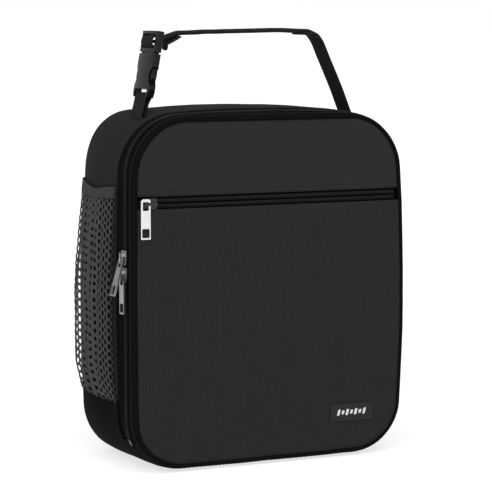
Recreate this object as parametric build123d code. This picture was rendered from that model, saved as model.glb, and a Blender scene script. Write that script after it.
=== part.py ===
"""Insulated cooler bag: a soft box whose front is a zipped lid, with a buckled webbing handle.

Millimetres. +Z is up, the front faces -Y, and +X is on the right of someone facing the front.
The origin is on the standing surface, under the middle of the bag's depth and width.
"""

import math
import os

from build123d import *

# ---------------------------------------------------------------- driving dimensions
WIDTH = 216.0  # across the front
HEIGHT = 255.0  # standing surface to the top of the body
DEPTH = 108.0  # front face to back face
TOP_RADIUS = 41.0  # upper corners of the front outline
BOTTOM_RADIUS = 38.0  # lower corners of the front outline
LID_DEPTH = 17.0  # front face to the middle of the main zipper

FRONT = -DEPTH / 2
BACK = DEPTH / 2
ZIP_Y = FRONT + LID_DEPTH  # plane of the main zipper, where lid and body part
ZIP_END_Z = 22.0  # the main zipper's two ends, on the lower corners

CLOTH = 1.2  # canvas and gusset cloth
PIPING = 3.6  # piping bead
TAPE = 0.9  # zipper tape
FOAM = 5.0  # insulating foam
FOIL = 0.6  # liner film
COIL_HALF = 0.4  # half the gap that the sliders' posts run in, between two coil rows

FLANGE_WIDTH = 4.9  # folded cloth flange behind the front piping
MAIN_COIL_WIDTH = 1.4
MAIN_COIL_HEIGHT = 1.8
REAR_TAPE_WIDTH = 11.7
BASE_TOP = 50.0  # the base panel wraps up the sides to here

POCKET_ZIP_Z = 194.8  # middle of the front pocket's zipper
POCKET_COIL_WIDTH = 3.0
SLOT_ABOVE = 4.8  # zipper middle to the upper panel's folded edge
SLOT_BELOW = 4.7  # zipper middle to the pocket panel's folded edge
TAPE_REACH = 10.5  # zipper middle to the hidden edge of each pocket tape
POCKET_DEPTH = 5.0  # room inside the front pocket

HINGE_STRIP_HALF = 64.0  # the fabric hinge spans the flat of the bottom
HINGE_STRIP_REACH = 5.9  # from the zipper plane, each way

MESH_BOTTOM = BASE_TOP
MESH_TOP = 197.0
MESH_FRONT = -22.0
MESH_BACK = 50.0
MESH_BULGE = 6.6
MESH_THICK = 0.8
BINDING_TALL = 8.0
BINDING_THICK = 1.6

SLIDER_LONG = 11.5  # the pocket zipper's slider
MAIN_SLIDER_LONG = 10.6
SLIDER_WIDE = 8.2
UPPER_SLIDER_Z = 155.4
LOWER_SLIDER_Z = 143.0
POCKET_SLIDER_X = -97.7
PULL_LONG = 28.6
PULL_WIDE = 7.4
PULL_THICK = 1.4
UPPER_PULL_TILT = 16.0  # it lies over the lower slider

WEBBING = 20.0  # width of the handle's webbing
STRAP_THICK = 3.0  # two plies, sewn together
PLY = 1.5
HANDLE_AXIS_Z = 265.0  # the handle folds over about this line
FOOT_RADIUS = WEBBING / 2
LEFT_FOOT_X = -80.3
STRAP_FOOT = (85.6, 265.0)  # right leg, where it crosses the folding line
STRAP_CORNER = (63.0, 315.2)  # where the right leg turns into the grip
GRIP_END = (-51.0, 315.6)  # where the grip gives way to the sewn strap end
RIGHT_LEAN = math.degrees(math.atan2(STRAP_FOOT[0] - STRAP_CORNER[0], STRAP_CORNER[1] - STRAP_FOOT[1]))

BUCKLE_FOOT = (-77.6, 0.0, 268.0)  # lower end of the socket
BUCKLE_LEAN = 10.5  # the buckle leans this way, top towards the grip
BUCKLE_WIDE = 29.0
SOCKET_LONG = 32.0
SOCKET_THICK = 7.0  # in the middle of its crowned faces
INSERT_START = 33.2
INSERT_LONG = 15.4
INSERT_THICK = 6.4
EDGE_THICK = 4.8  # thickness of both halves at their narrow sides
WINDOW_RADIUS = 8.0  # the curved bites that bare the prongs
WINDOW_CENTRE = (18.2, 15.4)  # across and along the buckle
BAR_RADIUS = 1.3
PRONG_PIVOT = (7.6, 29.4)  # across and along the buckle

PATCH = (36.0, 13.5, 2.2)  # wide, tall, thick
PATCH_CENTRE = (66.2, 33.8)


# ---------------------------------------------------------------- helpers
def outline(inset):
    """The bag's front outline, drawn in by inset on every side."""
    face = Rectangle(WIDTH - 2 * inset, HEIGHT - 2 * inset)
    face = fillet(face.vertices().group_by(Axis.Y)[-1], TOP_RADIUS - inset)
    return fillet(face.vertices().group_by(Axis.Y)[0], BOTTOM_RADIUS - inset)


def slab(inset, front, back):
    """The outline as a solid from front to back."""
    plane = Plane(origin=(0, back, HEIGHT / 2), x_dir=(1, 0, 0), z_dir=(0, -1, 0))
    return extrude(plane * outline(inset), back - front)


def ring(outer, inner, front, back):
    """The band between two insets of the outline, from front to back."""
    return slab(outer, front, back) - slab(inner, front - 1, back + 1)


def block(x0, x1, y0, y1, z0, z1):
    """A box from its six limits."""
    middle = ((x0 + x1) / 2, (y0 + y1) / 2, (z0 + z1) / 2)
    return Pos(*middle) * Box(x1 - x0, y1 - y0, z1 - z0)


def above(shape, z):
    """What of shape lies above z."""
    return shape & block(-WIDTH, WIDTH, -DEPTH, DEPTH, z, 2 * HEIGHT)


def below(shape, z):
    """What of shape lies below z."""
    return shape & block(-WIDTH, WIDTH, -DEPTH, DEPTH, -HEIGHT, z)


def buckle_place(shape):
    """Sets a shape drawn in the buckle's own frame on the handle: x thickness, y width, z length."""
    return Pos(*BUCKLE_FOOT) * Rot(0, BUCKLE_LEAN, 0) * shape


# ---------------------------------------------------------------- lid
PANEL_FRONT = FRONT + 0.4
PANEL_BACK = PANEL_FRONT + CLOTH
LID_SEAM = FRONT + PIPING  # back of the piping
FLANGE_BACK = LID_SEAM + FLANGE_WIDTH
BACKING_FRONT = PANEL_BACK + POCKET_DEPTH
LID_FOAM_FRONT = BACKING_FRONT + FOIL
LID_LINER_FRONT = LID_FOAM_FRONT + FOAM
LID_LINER_BACK = LID_LINER_FRONT + 0.5
CORE_INSET = 2.2  # the lid's inner layers stay this far inside the outline
HINGE_GAP = 0.3  # each side of the zipper plane


def hinge_zone(grow):
    """The space of the fabric hinge strip, grown by grow in X and Y."""
    x = HINGE_STRIP_HALF + grow
    y = HINGE_STRIP_REACH + grow
    return block(-x, x, ZIP_Y - y, ZIP_Y + y, -1, CLOTH + 1)


def front_upper_panel():
    return above(slab(PIPING + 0.05, PANEL_FRONT, PANEL_BACK), POCKET_ZIP_Z + SLOT_ABOVE)


def front_pocket_panel():
    return below(slab(PIPING + 0.05, PANEL_FRONT, PANEL_BACK), POCKET_ZIP_Z - SLOT_BELOW)


def front_piping():
    bead = ring(0, PIPING, FRONT, LID_SEAM)
    rim = bead.faces().sort_by(Axis.Y)[0].outer_wire().edges()
    return fillet(rim, PIPING * 0.42)


def lid_flange():
    flange = ring(0, CLOTH, LID_SEAM, FLANGE_BACK)
    corners = below(ring(0, CLOTH, FLANGE_BACK, ZIP_Y - HINGE_GAP), ZIP_END_Z)
    return flange + corners - hinge_zone(0.1)


def lid_zip_tape():
    back = ZIP_Y - COIL_HALF - MAIN_COIL_WIDTH
    return above(ring(0.1, 0.1 + TAPE, FLANGE_BACK, back), ZIP_END_Z)


def main_coil(y0, y1):
    """One row of the main zipper's coil, round the sides and the top."""
    outer = -0.4
    return above(ring(outer, outer + MAIN_COIL_HEIGHT, y0, y1), ZIP_END_Z + 1)


def lid_zip_coil():
    return main_coil(ZIP_Y - COIL_HALF - MAIN_COIL_WIDTH, ZIP_Y - COIL_HALF)


def pocket_tape(side):
    """One tape of the pocket zipper, above (1) or below (-1) its middle."""
    near = POCKET_ZIP_Z + side * COIL_HALF
    far = POCKET_ZIP_Z + side * TAPE_REACH
    half = WIDTH / 2 - PIPING - 0.1
    y = PANEL_BACK + 0.1
    return block(-half, half, y, y + TAPE - 0.3, min(near, far), max(near, far))


def pocket_coil(side):
    """One coil row of the pocket zipper, above (1) or below (-1) its middle."""
    near = POCKET_ZIP_Z + side * COIL_HALF
    far = near + side * POCKET_COIL_WIDTH
    half = WIDTH / 2 - PIPING - 0.1
    return block(-half, half, PANEL_FRONT + 0.2, PANEL_BACK, min(near, far), max(near, far))


def pocket_backing():
    return slab(CORE_INSET, BACKING_FRONT, LID_FOAM_FRONT)


def lid_foam():
    return slab(CORE_INSET, LID_FOAM_FRONT, LID_LINER_FRONT)


def lid_liner():
    return slab(CORE_INSET, LID_LINER_FRONT, LID_LINER_BACK)


def lid_binding():
    return ring(CORE_INSET, CORE_INSET + 3.5, LID_LINER_BACK, LID_LINER_BACK + 1.2)


def label_patch():
    wide, tall, thick = PATCH
    body = Box(wide, thick, tall)
    body = fillet(body.edges().filter_by(Axis.Y), 2.4)
    body = fillet(body.faces().sort_by(Axis.Y)[0].edges(), 0.7)
    recess = Pos(0, -thick / 2, 0) * Box(wide - 4.4, 1.0, tall - 4.4)
    x, z = PATCH_CENTRE
    return Pos(x, PANEL_FRONT - thick / 2, z) * (body - recess)


# ---------------------------------------------------------------- body
BODY_FRONT = ZIP_Y + COIL_HALF  # first of the body's own cloth and coil
TAPE_FRONT = BODY_FRONT + MAIN_COIL_WIDTH
GUSSET_FRONT = TAPE_FRONT + REAR_TAPE_WIDTH
GUSSET_BACK = BACK - PIPING
FOAM_FRONT = ZIP_Y + 3.0
FOAM_OUTER = CLOTH
FOAM_INNER = CLOTH + FOAM
BACK_FOAM_BACK = BACK - 2.1
LINER_BACK = BACK_FOAM_BACK - FOAM


def rear_zip_coil():
    return main_coil(BODY_FRONT, TAPE_FRONT)


def rear_zip_tape():
    return above(ring(0.1, 0.1 + TAPE, TAPE_FRONT, GUSSET_FRONT), ZIP_END_Z)


def side_gusset():
    return above(ring(0, CLOTH, GUSSET_FRONT, GUSSET_BACK), BASE_TOP)


def base_panel():
    wrap = below(ring(0, CLOTH, GUSSET_FRONT, GUSSET_BACK), BASE_TOP)
    nose = below(ring(0, CLOTH, ZIP_Y + HINGE_GAP, GUSSET_FRONT), ZIP_END_Z)
    return wrap + nose - hinge_zone(0.1)


def hinge_strip():
    x = HINGE_STRIP_HALF
    y = HINGE_STRIP_REACH
    return block(-x, x, ZIP_Y - y, ZIP_Y + y, 0, CLOTH)


def back_panel():
    return slab(PIPING + 0.05, BACK - 0.4 - CLOTH, BACK - 0.4)


def back_piping():
    bead = ring(0, PIPING, GUSSET_BACK, BACK)
    rim = bead.faces().sort_by(Axis.Y)[-1].outer_wire().edges()
    return fillet(rim, PIPING * 0.42)


def wall_foam():
    return ring(FOAM_OUTER, FOAM_INNER, FOAM_FRONT, GUSSET_BACK)


def back_foam():
    return slab(FOAM_INNER, LINER_BACK, BACK_FOAM_BACK)


def body_liner():
    inner = slab(FOAM_INNER + FOIL, FOAM_FRONT - 1, LINER_BACK - FOIL)
    return slab(FOAM_INNER, FOAM_FRONT, LINER_BACK) - inner


def body_binding():
    return ring(CLOTH + 0.2, FOAM_INNER + FOIL + 0.4, TAPE_FRONT, FOAM_FRONT)


def zip_stops():
    """Stops over both ends of the body's coil row."""
    row = ring(-0.7, MAIN_COIL_HEIGHT, BODY_FRONT, TAPE_FRONT - 0.05)
    return above(below(row, ZIP_END_Z + 0.9), ZIP_END_Z - 2.5) - ring(0, CLOTH, BODY_FRONT - 1, TAPE_FRONT)


def mesh_shell(bulge, front, back, bottom, top):
    """A shallow dome off the left side: bulging across its depth, and tucked in at the bottom."""
    side = -WIDTH / 2
    middle = (front + back) / 2
    across = make_face(
        [
            ThreePointArc((side, front), (side - bulge, middle), (side, back)),
            Line((side, back), (side, front)),
        ]
    )
    dome = extrude(Pos(0, 0, bottom) * across, top - bottom)
    knee = bottom + 40
    profile = make_face(
        [
            Spline((side, bottom), (side - bulge * 0.8, bottom + 16), (side - bulge - 0.1, knee)),
            Line((side - bulge - 0.1, knee), (side - bulge - 0.1, top)),
            Line((side - bulge - 0.1, top), (side, top)),
            Line((side, top), (side, bottom)),
        ]
    )
    plane = Plane(origin=(0, back, 0), x_dir=(1, 0, 0), z_dir=(0, -1, 0))
    return dome & extrude(plane * profile, back - front)


def mesh_pocket():
    outer = mesh_shell(MESH_BULGE, MESH_FRONT, MESH_BACK, MESH_BOTTOM, MESH_TOP)
    t = MESH_THICK
    inner = mesh_shell(MESH_BULGE - t, MESH_FRONT + 3, MESH_BACK - 3, MESH_BOTTOM + 3, MESH_TOP + 1)
    return Pos(-0.05, 0, 0) * (outer - inner)


def mesh_binding():
    """The elastic edge along the mesh pocket's mouth."""
    low = MESH_TOP + 0.05
    high = low + BINDING_TALL
    outer = mesh_shell(MESH_BULGE, MESH_FRONT, MESH_BACK, low - 60, high)
    inner = mesh_shell(
        MESH_BULGE - BINDING_THICK, MESH_FRONT + 4, MESH_BACK - 4, low - 60, high + 1
    )
    return Pos(-0.05, 0, 0) * above(outer - inner, low)


# ---------------------------------------------------------------- zipper sliders and pulls
def slider_plate(long, wide, thick):
    """A slider's outer plate, waisted towards its tail. Drawn flat: x travel, y across, z outwards."""
    nose, tail = wide / 2, wide * 0.36
    half = long / 2
    plate = make_face(
        Polyline((-half, -tail), (0, -nose), (half, -nose), (half, nose), (0, nose), (-half, tail), close=True)
    )
    plate = fillet(plate.vertices(), 1.0)
    solid = extrude(plate, thick)
    return fillet(solid.faces().sort_by(Axis.Z)[-1].edges(), 0.35)


def slider_crown(reach, rise, wide, wire):
    """The bridge on a slider that its pull hangs from. Its feet stand at plus and minus reach."""
    arch = Box(2 * reach, wide, rise, align=(Align.CENTER, Align.CENTER, Align.MIN))
    arch = fillet(arch.faces().sort_by(Axis.Z)[-1].edges().filter_by(Axis.Y), rise * 0.45)
    hole = Box(2 * (reach - wire), wide + 1, rise - wire, align=(Align.CENTER, Align.CENTER, Align.MIN))
    return arch - hole


MAIN_PLATE_LOW = WIDTH / 2 + 0.6  # inner side of the main sliders' outer plates, from the middle
PLATE_THICK = 1.3
CROWN_RISE = 2.9
CROWN_REACH = 4.4
CROWN_WIRE = 0.9
PULL_PIVOT_RISE = 1.05  # pull's pivot above the plate
PULL_BAR = 0.7  # radius of the round bar at a main pull's top


def main_slider(z):
    """A slider of the main zipper on the bag's left side. Its post runs between the coil rows."""
    face = Plane(origin=(-MAIN_PLATE_LOW, ZIP_Y, z), x_dir=(0, 0, 1), z_dir=(-1, 0, 0))
    plate = slider_plate(MAIN_SLIDER_LONG, SLIDER_WIDE, PLATE_THICK)
    crown = Pos(0, 0, PLATE_THICK) * slider_crown(CROWN_REACH, CROWN_RISE, 1.9, CROWN_WIRE)
    outside = face * (plate + crown)
    inner_x = -WIDTH / 2 + MAIN_COIL_HEIGHT
    post = block(-MAIN_PLATE_LOW - 0.2, inner_x, ZIP_Y - 0.2, ZIP_Y + 0.2, z - 3, z + 3)
    keeper = block(inner_x - 0.2, inner_x + 0.7, ZIP_Y - 2.4, ZIP_Y + 1.5, z - 4.5, z + 4.5)
    return outside + post + keeper


def flat_pull(bar):
    """A flat pull hanging from its top bar at the origin: x across, y thickness, z down. Two windows."""
    blank = Rectangle(PULL_WIDE, PULL_LONG)
    blank = fillet(blank.vertices().group_by(Axis.Y)[-1], 2.0)
    blank = fillet(blank.vertices().group_by(Axis.Y)[0], 0.5)
    blank = Pos(0, bar - PULL_LONG / 2) * blank
    crown_window = Pos(0, -bar - 3.1) * RectangleRounded(4.6, 6.2, 0.8)
    foot_window = Pos(0, bar - PULL_LONG + 4.4) * RectangleRounded(5.7, 6.4, 0.9)
    face = Plane(origin=(0, PULL_THICK / 2, 0), x_dir=(1, 0, 0), z_dir=(0, -1, 0))
    return extrude(face * (blank - crown_window - foot_window), PULL_THICK)


def main_pull(z, tilt):
    """A pull of the main zipper, hung on its slider's crown and turned out by tilt."""
    pull = flat_pull(PULL_BAR) + Rot(0, 90, 0) * Cylinder(PULL_BAR, PULL_WIDE - 1.6)
    x = -MAIN_PLATE_LOW - PLATE_THICK - PULL_PIVOT_RISE
    return Pos(x, ZIP_Y, z) * Rot(0, tilt, 0) * Rot(0, 0, 90) * pull


POST_RADIUS = 1.1
POCKET_PLATE_LOW = -FRONT + 0.3  # rear side of the pocket slider's plate, forward of the middle
POCKET_POST_X = -101.4


def pocket_slider():
    """The pocket zipper's slider, with a crown whose left foot is the round post its pull turns on."""
    face = Plane(origin=(POCKET_SLIDER_X, -POCKET_PLATE_LOW, POCKET_ZIP_Z), x_dir=(1, 0, 0), z_dir=(0, -1, 0))
    plate = face * slider_plate(SLIDER_LONG, SLIDER_WIDE, PLATE_THICK)
    outer_y = -POCKET_PLATE_LOW - PLATE_THICK
    far_x = POCKET_SLIDER_X + SLIDER_LONG / 2 - 0.7
    post_long = CROWN_RISE + 0.2
    post = Pos(POCKET_POST_X, outer_y + 0.2 - post_long / 2, POCKET_ZIP_Z) * Rot(90, 0, 0)
    post = post * Cylinder(POST_RADIUS, post_long)
    top_y = outer_y - CROWN_RISE
    wire = block(POCKET_POST_X - 1.1, far_x, top_y, top_y + CROWN_WIRE, POCKET_ZIP_Z - 1, POCKET_ZIP_Z + 1)
    foot = block(far_x - 1.2, far_x, top_y, outer_y + 0.2, POCKET_ZIP_Z - 1, POCKET_ZIP_Z + 1)
    inner_y = PANEL_BACK + 0.1 + TAPE
    web = block(
        POCKET_SLIDER_X - 3, POCKET_SLIDER_X + 3, -POCKET_PLATE_LOW - 0.2, inner_y,
        POCKET_ZIP_Z - 0.2, POCKET_ZIP_Z + 0.2,
    )
    rear = block(
        POCKET_SLIDER_X - 4.5, POCKET_SLIDER_X + 4.5, inner_y - 0.2, inner_y + 0.7,
        POCKET_ZIP_Z - 3.5, POCKET_ZIP_Z + 3.5,
    )
    return plate + post + wire + foot + web + rear


def pocket_pull():
    """The pocket zipper's pull, hanging on its slider's post."""
    y = -POCKET_PLATE_LOW - PLATE_THICK - 0.3 - PULL_THICK / 2
    return Pos(POCKET_POST_X, y, POCKET_ZIP_Z + POST_RADIUS + 0.5 + 1.0) * flat_pull(1.0)


# ---------------------------------------------------------------- handle
def across(face, width):
    """A side view drawn in XZ, given its width in Y."""
    plane = Plane(origin=(0, width / 2, 0), x_dir=(1, 0, 0), z_dir=(0, -1, 0))
    return extrude(plane * face, width)


def foot_shape():
    """A foot's front view: square above the folding line, half round below it."""
    disc = Rot(0, 90, 0) * Cylinder(FOOT_RADIUS, 2 * WIDTH)
    reach = 2 * HEIGHT
    upper = block(-WIDTH, WIDTH, -FOOT_RADIUS, FOOT_RADIUS, 0, reach)
    return Pos(0, 0, HANDLE_AXIS_Z) * (disc + upper)


def handle_strap():
    """Right leg and grip of the handle, one bent strap."""
    lean = math.radians(RIGHT_LEAN)
    low = 12.0
    start = (STRAP_FOOT[0] + low * math.tan(lean), STRAP_FOOT[1] - low)
    line = FilletPolyline(start, STRAP_CORNER, GRIP_END, radius=11)
    return across(trace(line, STRAP_THICK), WEBBING) & foot_shape()


def strap_end():
    """The strap's sewn end, through the insert's window and round its bar."""
    bar = buckle_place(Pos(0, 0, INSERT_BAR_Z) * Sphere(0.1)).center()
    thick = STRAP_THICK - 0.4
    start = (GRIP_END[0] - 1.0, GRIP_END[1])
    end = (bar.X, bar.Z + BAR_RADIUS + 0.15 + thick / 2)
    down = FilletPolyline(start, (bar.X + 10.6, start[1] - 0.3), (bar.X + 5.1, end[1] + 0.1), end, radius=3)
    band = across(trace(down, thick), WEBBING)
    sleeve = Cylinder(BAR_RADIUS + 0.15 + PLY, WEBBING) - Cylinder(BAR_RADIUS + 0.15, WEBBING + 1)
    loop = Pos(bar.X, 0, bar.Z) * Rot(90, 0, 0) * sleeve
    core = Pos(bar.X, 0, bar.Z) * Rot(90, 0, 0) * Cylinder(BAR_RADIUS + 0.15, WEBBING + 1)
    return band + loop - core


def socket_loop():
    """The webbing loop under the socket, folded round the socket's bar and sewn to the bag."""
    bar = buckle_place(Pos(0, 0, BAR_RADIUS) * Sphere(0.1)).center()
    outer = BAR_RADIUS + 0.15 + PLY
    wrap = Pos(bar.X, bar.Z) * Circle(outer)
    stem_top = bar.Z
    stem_low = HANDLE_AXIS_Z - FOOT_RADIUS - 1
    stem = make_face(
        Polyline(
            (bar.X - outer, stem_top), (bar.X + outer, stem_top),
            (LEFT_FOOT_X + STRAP_THICK / 2, HANDLE_AXIS_Z - 2),
            (LEFT_FOOT_X + STRAP_THICK / 2 - 0.6, stem_low),
            (LEFT_FOOT_X - STRAP_THICK / 2 - 0.6, stem_low),
            (LEFT_FOOT_X - STRAP_THICK / 2, HANDLE_AXIS_Z - 2),
            close=True,
        )
    )
    hole = Pos(bar.X, bar.Z) * Circle(BAR_RADIUS + 0.15)
    return across(wrap + stem - hole, WEBBING) & foot_shape()


def foot(x, lean):
    """The sewn root of one webbing end, standing on the bag's curved shoulder."""
    top = HANDLE_AXIS_Z - FOOT_RADIUS - 0.4
    stem = Pos(x, 0, top) * Rot(0, -lean, 0) * Pos(0, 0, -8) * Box(STRAP_THICK, WEBBING, 16)
    stem = below(stem, top) - slab(0, FRONT, BACK)
    return stem


INSERT_BAR_Z = INSERT_START + 8.0
WINDOW_HALF = WEBBING / 2 + 0.6


def crowned_block(thick, low, high):
    """A block of the buckle with both broad faces crowned across their width."""
    edge, crown, half = EDGE_THICK / 2, thick / 2, BUCKLE_WIDE / 2
    section = make_face(
        [
            ThreePointArc((edge, -half), (crown, 0), (edge, half)),
            Line((edge, half), (-edge, half)),
            ThreePointArc((-edge, half), (-crown, 0), (-edge, -half)),
            Line((-edge, -half), (edge, -half)),
        ]
    )
    section = fillet(section.vertices(), 1.5)
    return Pos(0, 0, low) * extrude(section, high - low)


def buckle_socket():
    """The female half: a flat sleeve with a mouth on top, a curved bite each side, a bar below."""
    body = crowned_block(SOCKET_THICK, 0, SOCKET_LONG)
    for side in (-1, 1):  # the lower corners run in towards the webbing
        corner = make_face(Polyline((side * 15, -1), (side * 15, 7.5), (side * 11.4, -1), close=True))
        plane = Plane(origin=(-SOCKET_THICK, 0, 0), x_dir=(0, 1, 0), z_dir=(1, 0, 0))
        body -= extrude(plane * corner, 2 * SOCKET_THICK)
        body -= Pos(0, side * 14.5, WINDOW_CENTRE[1]) * Box(4.6, 8.0, 13.2)
        bite = Rot(0, 90, 0) * Cylinder(WINDOW_RADIUS, 2 * SOCKET_THICK)
        body -= Pos(0, side * WINDOW_CENTRE[0], WINDOW_CENTRE[1]) * bite
    mouth = Pos(0, 0, 21) * Box(4.8, 23.6, 24)
    body -= mouth
    slot_low, slot_high = 2 * BAR_RADIUS, 2 * BAR_RADIUS + 3.4
    slot = block(-SOCKET_THICK, SOCKET_THICK, -WINDOW_HALF, WINDOW_HALF, slot_low, slot_high)
    under = block(-SOCKET_THICK, SOCKET_THICK, -WINDOW_HALF, WINDOW_HALF, -1, slot_low)
    bar = Pos(0, 0, BAR_RADIUS) * Rot(90, 0, 0) * Cylinder(BAR_RADIUS, 2 * WINDOW_HALF + 0.4)
    return buckle_place(body - slot - under + bar)


def buckle_insert():
    """The male half's frame: a window with a bar for the strap, a shoulder and a centre tongue."""
    frame = crowned_block(INSERT_THICK, INSERT_START, INSERT_START + INSERT_LONG)
    window = block(
        -INSERT_THICK, INSERT_THICK, -WINDOW_HALF, WINDOW_HALF,
        INSERT_BAR_Z - 5.2, INSERT_START + INSERT_LONG - 2.2,
    )
    bar = Pos(0, 0, INSERT_BAR_Z) * Rot(90, 0, 0) * Cylinder(BAR_RADIUS, 2 * WINDOW_HALF + 0.4)
    shoulder = block(-2.0, 2.0, -11.0, 11.0, PRONG_PIVOT[1] + 1.8, INSERT_START + 0.1)
    tongue = block(-1.3, 1.3, -2.4, 2.4, 11.0, INSERT_START)
    return buckle_place(frame - window + bar + shoulder + tongue)


def prong(side):
    """One springy arm of the insert, in front (-1) or behind (1), with its squeeze pad and catch."""
    y, z = PRONG_PIVOT
    arm = make_face(
        [
            Line((y - 1.4, z), (y - 1.2, 17.0)),
            Spline((y - 1.2, 17.0), (y - 0.4, 12.8), (y + 2.6, 11.0)),
            Spline((y + 2.6, 11.0), (y + 5.6, 13.2), (y + 6.2, 17.5), (y + 5.9, 21.4)),
            Line((y + 5.9, 21.4), (y + 3.0, 21.4)),
            Line((y + 3.0, 21.4), (y + 1.4, z)),
            Line((y + 1.4, z), (y - 1.4, z)),
        ]
    )
    arm = arm + Pos(y, z) * Circle(1.4)
    plane = Plane(origin=(-1.9, 0, 0), x_dir=(0, 1, 0), z_dir=(1, 0, 0))
    solid = extrude(plane * arm, 3.8)
    if side < 0:
        solid = mirror(solid, about=Plane.XZ)
    return buckle_place(solid)


# ---------------------------------------------------------------- nodes
NODES = {
    "front_upper_panel": front_upper_panel(),
    "front_pocket_panel": front_pocket_panel(),
    "front_piping": front_piping(),
    "lid_flange": lid_flange(),
    "lid_zip_tape": lid_zip_tape(),
    "lid_zip_coil": lid_zip_coil(),
    "pocket_zip_tape_upper": pocket_tape(1),
    "pocket_zip_tape_lower": pocket_tape(-1),
    "pocket_zip_coil_upper": pocket_coil(1),
    "pocket_zip_coil_lower": pocket_coil(-1),
    "pocket_backing": pocket_backing(),
    "lid_foam": lid_foam(),
    "lid_liner": lid_liner(),
    "lid_binding": lid_binding(),
    "label_patch": label_patch(),
    "rear_zip_coil": rear_zip_coil(),
    "rear_zip_tape": rear_zip_tape(),
    "zip_stops": zip_stops(),
    "side_gusset": side_gusset(),
    "base_panel": base_panel(),
    "hinge_strip": hinge_strip(),
    "back_panel": back_panel(),
    "back_piping": back_piping(),
    "wall_foam": wall_foam(),
    "back_foam": back_foam(),
    "body_liner": body_liner(),
    "body_binding": body_binding(),
    "mesh_pocket": mesh_pocket(),
    "mesh_binding": mesh_binding(),
    "upper_slider": main_slider(UPPER_SLIDER_Z),
    "upper_pull": main_pull(UPPER_SLIDER_Z, UPPER_PULL_TILT),
    "lower_slider": main_slider(LOWER_SLIDER_Z),
    "lower_pull": main_pull(LOWER_SLIDER_Z, 0),
    "pocket_slider": pocket_slider(),
    "pocket_pull": pocket_pull(),
    "handle_strap": handle_strap(),
    "strap_end": strap_end(),
    "socket_loop": socket_loop(),
    "left_foot": foot(LEFT_FOOT_X - 0.6, 0),
    "right_foot": foot(STRAP_FOOT[0] + (FOOT_RADIUS + 0.4) * math.tan(math.radians(RIGHT_LEAN)), RIGHT_LEAN),
    "buckle_socket": buckle_socket(),
    "buckle_insert": buckle_insert(),
    "prong_front": prong(-1),
    "prong_rear": prong(1),
}

os.makedirs("parts", exist_ok=True)
for name, shape in NODES.items():
    export_step(shape, f"parts/{name}.step")
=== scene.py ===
"""Looks of the insulated cooler bag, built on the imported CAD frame.

Lengths in this script are millimetres in the part's own frame; MM turns them into Blender's metres.
"""

import math

import bmesh
import bpy
import numpy as np
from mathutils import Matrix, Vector, noise


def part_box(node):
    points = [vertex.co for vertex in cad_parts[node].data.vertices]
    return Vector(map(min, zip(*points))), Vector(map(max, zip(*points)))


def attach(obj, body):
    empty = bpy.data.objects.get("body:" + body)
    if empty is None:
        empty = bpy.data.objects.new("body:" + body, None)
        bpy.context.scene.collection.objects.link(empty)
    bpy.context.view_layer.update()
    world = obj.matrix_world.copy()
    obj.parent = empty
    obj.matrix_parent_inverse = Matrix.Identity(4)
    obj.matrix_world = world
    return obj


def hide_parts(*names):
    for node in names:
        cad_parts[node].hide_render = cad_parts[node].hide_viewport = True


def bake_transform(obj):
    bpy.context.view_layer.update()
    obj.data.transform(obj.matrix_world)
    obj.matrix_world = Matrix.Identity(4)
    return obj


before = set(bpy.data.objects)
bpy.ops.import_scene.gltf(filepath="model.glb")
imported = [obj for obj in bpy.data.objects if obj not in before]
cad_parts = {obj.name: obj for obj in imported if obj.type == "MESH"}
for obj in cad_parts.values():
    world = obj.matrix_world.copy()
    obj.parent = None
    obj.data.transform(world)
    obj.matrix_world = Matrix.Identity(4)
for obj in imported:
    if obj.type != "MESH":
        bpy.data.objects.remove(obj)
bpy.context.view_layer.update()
MM = 0.001
TAU = 2 * math.pi


# ------------------------------------------------------------------ sizes, from the frame
def node_box(node):
    """Lowest and highest corner of a CAD node, in millimetres."""
    low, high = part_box(node)
    return np.array(low) / MM, np.array(high) / MM


PIPING_BOX = node_box("front_piping")
HALF = PIPING_BOX[1][0]
HEIGHT = PIPING_BOX[1][2]
FRONT = PIPING_BOX[0][1]
LID_SEAM = PIPING_BOX[1][1]
PIPING = LID_SEAM - FRONT
BACK = node_box("back_piping")[1][1]
TAPE_BOX = node_box("lid_zip_tape")
FLANGE_BACK = TAPE_BOX[0][1]
ZIP_END_Z = TAPE_BOX[0][2]
LID_COIL_BOX = node_box("lid_zip_coil")
REAR_COIL_BOX = node_box("rear_zip_coil")
ZIP_Y = (LID_COIL_BOX[1][1] + REAR_COIL_BOX[0][1]) / 2
REAR_TAPE_BOX = node_box("rear_zip_tape")
GUSSET_FRONT = REAR_TAPE_BOX[1][1]
GUSSET_BACK = node_box("side_gusset")[1][1]
BASE_TOP = node_box("base_panel")[1][2]
UPPER_EDGE_Z = node_box("front_upper_panel")[0][2]
POCKET_EDGE_Z = node_box("front_pocket_panel")[1][2]
MESH_BOX = node_box("mesh_pocket")
ELASTIC_BOX = node_box("mesh_binding")
SWING_AXIS_Z = 265.0  # the handle folds over about this line
TOP_RADIUS = 41.0
BOTTOM_RADIUS = 38.0
CLOTH = 1.2  # thickness of the CAD model's cloth
FOAM = 5.0


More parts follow.
